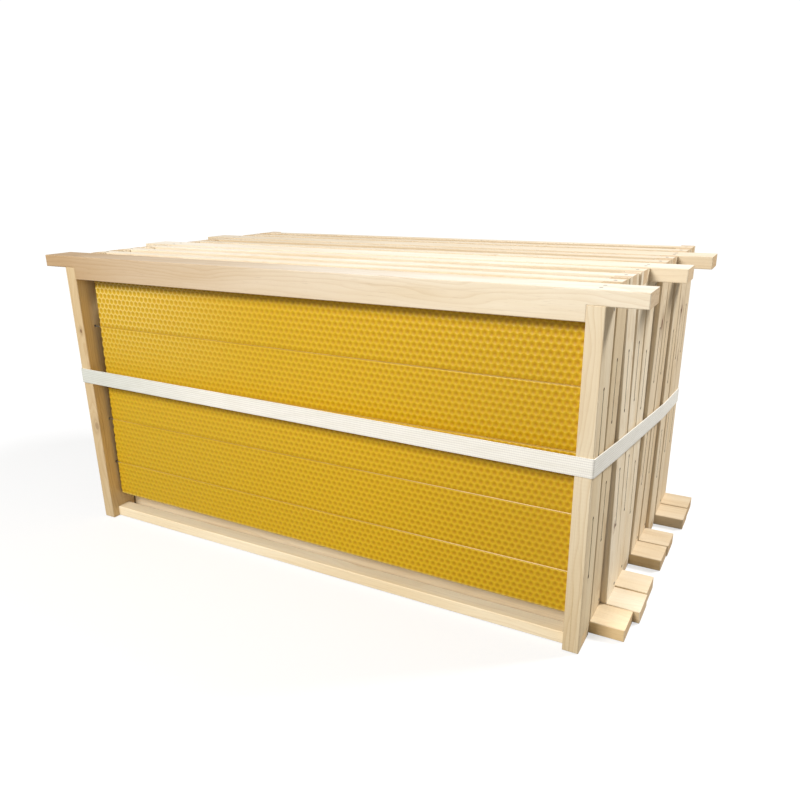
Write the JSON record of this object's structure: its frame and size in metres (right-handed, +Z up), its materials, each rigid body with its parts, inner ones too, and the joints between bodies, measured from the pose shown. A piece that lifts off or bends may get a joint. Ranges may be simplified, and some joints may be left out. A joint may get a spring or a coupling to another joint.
{
  "type": "bundle of hive frames",
  "caption": "Strapped bundle of assembled, wired timber hive frames with yellow wax foundation sheets, some upright and some upside down, held by a white woven band.",
  "frame": {"origin": "centre of the bundle's footprint at floor level", "axes": "+X along the frames, to the right seen from the front frame; +Y from the front frame to the back one; +Z up"},
  "size_m": [0.4908, 0.263, 0.232],
  "materials": {
    "pine": "planed, unfinished",
    "wax": "embossed beeswax, satin",
    "steel": "bright drawn wire and nails",
    "band": "woven polypropylene band",
    "seal_steel": "crimped sheet steel"
  },
  "bodies": {
    "frame_01": {"frame_01_top_bar": "pine", "frame_01_left_end_bar": "pine", "frame_01_right_end_bar": "pine", "frame_01_bottom_bar": "pine", "frame_01_foundation": "wax", "frame_01_wire": "steel", "frame_01_nails": "steel", "strap": "band", "strap_seal": "seal_steel"},
    "frame_02": {"frame_02_top_bar": "pine", "frame_02_end_bars": "pine", "frame_02_bottom_bar": "pine", "frame_02_foundation": "wax", "frame_02_wire_and_nails": "steel"},
    "frame_03": {"frame_03_top_bar": "pine", "frame_03_end_bars": "pine", "frame_03_bottom_bar": "pine", "frame_03_foundation": "wax", "frame_03_wire_and_nails": "steel"},
    "frame_04": {"frame_04_top_bar": "pine", "frame_04_end_bars": "pine", "frame_04_bottom_bar": "pine", "frame_04_foundation": "wax", "frame_04_wire_and_nails": "steel"},
    "frame_05": {"frame_05_top_bar": "pine", "frame_05_end_bars": "pine", "frame_05_bottom_bar": "pine", "frame_05_foundation": "wax", "frame_05_wire_and_nails": "steel"},
    "frame_06": {"frame_06_top_bar": "pine", "frame_06_end_bars": "pine", "frame_06_bottom_bar": "pine", "frame_06_foundation": "wax", "frame_06_wire_and_nails": "steel"},
    "frame_07": {"frame_07_top_bar": "pine", "frame_07_end_bars": "pine", "frame_07_bottom_bar": "pine", "frame_07_foundation": "wax", "frame_07_wire_and_nails": "steel"},
    "frame_08": {"frame_08_top_bar": "pine", "frame_08_end_bars": "pine", "frame_08_bottom_bar": "pine", "frame_08_foundation": "wax", "frame_08_wire_and_nails": "steel"},
    "frame_09": {"frame_09_top_bar": "pine", "frame_09_end_bars": "pine", "frame_09_bottom_bar": "pine", "frame_09_foundation": "wax", "frame_09_wire_and_nails": "steel"},
    "frame_10": {"frame_10_top_bar": "pine", "frame_10_left_end_bar": "pine", "frame_10_right_end_bar": "pine", "frame_10_bottom_bar": "pine", "frame_10_foundation": "wax", "frame_10_wire": "steel", "frame_10_nails": "steel"}
  },
  "joints": [
    {"name": "frame_02_lift", "type": "slide", "parent": "frame_01", "child": "frame_02", "axis": [0.0017, 0, 1], "range_m": [0, 0.107]},
    {"name": "frame_03_lift", "type": "slide", "parent": "frame_01", "child": "frame_03", "axis": [-0.0164, 0, 0.9999], "range_m": [0, 0.105]},
    {"name": "frame_04_lift", "type": "slide", "parent": "frame_01", "child": "frame_04", "axis": [-0.0082, 0, 1], "range_m": [0, 0.102]},
    {"name": "frame_05_lift", "type": "slide", "parent": "frame_01", "child": "frame_05", "axis": [0, 0, 1], "range_m": [0, 0.25]},
    {"name": "frame_06_lift", "type": "slide", "parent": "frame_01", "child": "frame_06", "axis": [0.0116, 0, 0.9999], "range_m": [0, 0.097]},
    {"name": "frame_07_lift", "type": "slide", "parent": "frame_01", "child": "frame_07", "axis": [0.0082, 0, 1], "range_m": [0, 0.095]},
    {"name": "frame_08_lift", "type": "slide", "parent": "frame_01", "child": "frame_08", "axis": [0.0034, 0, 1], "range_m": [0, 0.25]},
    {"name": "frame_09_lift", "type": "slide", "parent": "frame_01", "child": "frame_09", "axis": [0.0004, 0, 1], "range_m": [0, 0.09]},
    {"name": "frame_10_lift", "type": "slide", "parent": "frame_01", "child": "frame_10", "axis": [0.0022, 0, 1], "range_m": [0, 0.079]}
  ]
}
